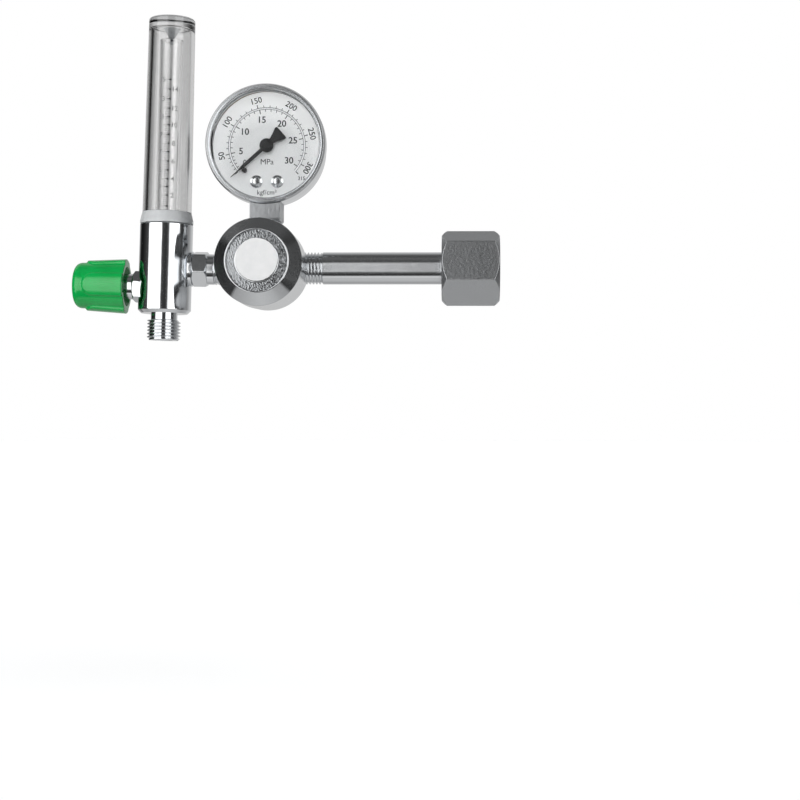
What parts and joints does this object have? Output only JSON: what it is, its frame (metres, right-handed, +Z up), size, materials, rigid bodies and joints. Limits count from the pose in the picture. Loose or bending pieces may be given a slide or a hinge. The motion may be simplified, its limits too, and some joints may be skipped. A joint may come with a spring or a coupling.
{
  "type": "oxygen regulator",
  "caption": "Preset oxygen pressure regulator with a union nut on a long inlet stem, a round pressure gauge, a clear tube flowmeter, a flow knob and a threaded outlet.",
  "frame": {"origin": "end of the straight wall of the inlet nose, on the inlet axis", "axes": "+X along the inlet axis, out of the nose towards the cylinder valve; +Z up, along the gauge's neck; -Y the front, where the gauge is read"},
  "size_m": [0.1822, 0.0524, 0.1383],
  "materials": {
    "chromed_brass": "polished",
    "satin_chrome": "satin",
    "brass": "machined",
    "sintered_bronze": "porous",
    "spring_steel": "drawn",
    "steel": "polished",
    "white_enamel": "matt",
    "black_paint": "satin",
    "white_label": "satin",
    "rubber": "matt",
    "window": "clear",
    "clear_polycarbonate": "clear",
    "grey_plastic": "satin",
    "green_plastic": "glossy"
  },
  "bodies": {
    "regulator": {"inlet_stem": "chromed_brass", "inlet_filter": "sintered_bronze", "filter_ring": "spring_steel", "regulator_body": "chromed_brass", "bonnet": "chromed_brass", "seal_plug": "chromed_brass", "label_disc": "white_label", "preset_screw": "steel", "spring_button": "brass", "main_spring": "spring_steel", "slip_ring": "brass", "diaphragm": "rubber", "valve_nozzle": "brass", "poppet_spring": "spring_steel", "gauge_case": "chromed_brass", "gauge_bezel": "chromed_brass", "gauge_lens": "window", "lens_gasket": "rubber", "gauge_dial": "white_enamel", "dial_screws": "steel", "stop_pin": "black_paint", "gauge_socket": "chromed_brass", "bourdon_tube": "brass", "tube_tip": "brass", "movement_plate_front": "brass", "movement_plate_rear": "brass", "movement_pillars": "brass", "plate_screws": "steel", "flowmeter_body": "chromed_brass", "outer_tube": "clear_polycarbonate", "outer_tube_o_ring": "rubber", "inner_tube": "clear_polycarbonate", "inner_tube_seal": "rubber", "ball_seat": "brass", "float_stop": "grey_plastic", "outlet_nipple": "chromed_brass", "fitting_washer": "chromed_brass", "outlet_fitting": "chromed_brass", "gland_nut": "chromed_brass", "spindle_o_ring": "rubber"},
    "nut": {"inlet_nut": "satin_chrome"},
    "spindle": {"valve_spindle": "brass", "knob_insert": "brass"},
    "knob": {"flow_knob": "green_plastic"},
    "float": {"float_ball": "steel"},
    "valve": {"poppet": "brass", "diaphragm_plate": "brass"},
    "sector": {"sector_gear": "brass"},
    "pointer": {"gauge_pointer": "black_paint", "pinion_arbor": "brass", "hairspring": "spring_steel"},
    "link": {"movement_link": "brass"}
  },
  "joints": [
    {"name": "nut_spin", "type": "hinge", "parent": "regulator", "child": "nut", "pos_m": [0, 0, 0], "axis": [1, 0, 0], "continuous": true},
    {"name": "spindle_travel", "type": "slide", "parent": "regulator", "child": "spindle", "axis": [-0.9997, 0, 0.0227], "range_m": [0, 0.002]},
    {"name": "knob_turn", "type": "hinge", "parent": "spindle", "child": "knob", "pos_m": [-0.13938, 0, -0.0081], "axis": [-0.9997, 0, 0.0227], "range_deg": [0, 720]},
    {"name": "float_rise", "type": "slide", "parent": "regulator", "child": "float", "axis": [0.0227, 0, 0.9997], "range_m": [0, 0.078]},
    {"name": "sector_swing", "type": "hinge", "parent": "regulator", "child": "sector", "pos_m": [-0.0957, 0, 0.0406], "axis": [0, 1, 0], "range_deg": [-37.6, 0], "stiffness_Nm_per_rad": 0.01, "springref_deg": 5.73},
    {"name": "pointer_turn", "type": "hinge", "parent": "regulator", "child": "pointer", "pos_m": [-0.0957, 0, 0.0526], "axis": [0, 1, 0], "range_deg": [0, 263.2], "deforming": ["hairspring"]},
    {"name": "link_swing", "type": "hinge", "parent": "sector", "child": "link", "pos_m": [-0.09242, 0, 0.03831], "axis": [0, 1, 0], "range_deg": [0, 55.39]},
    {"name": "valve_travel", "type": "slide", "parent": "regulator", "child": "valve", "axis": [0, 1, 0], "range_m": [-0.00048, 0], "stiffness_N_per_m": 2000, "springref_m": 0.001, "deforming": ["main_spring", "poppet_spring", "diaphragm"]}
  ],
  "couplings": [
    {"joint": "knob_turn", "follows": "spindle_travel", "rad_per_m": 6283.2},
    {"joint": "pointer_turn", "follows": "sector_swing", "ratio": -7},
    {"joint": "link_swing", "follows": "sector_swing", "ratio": -1.4731}
  ]
}
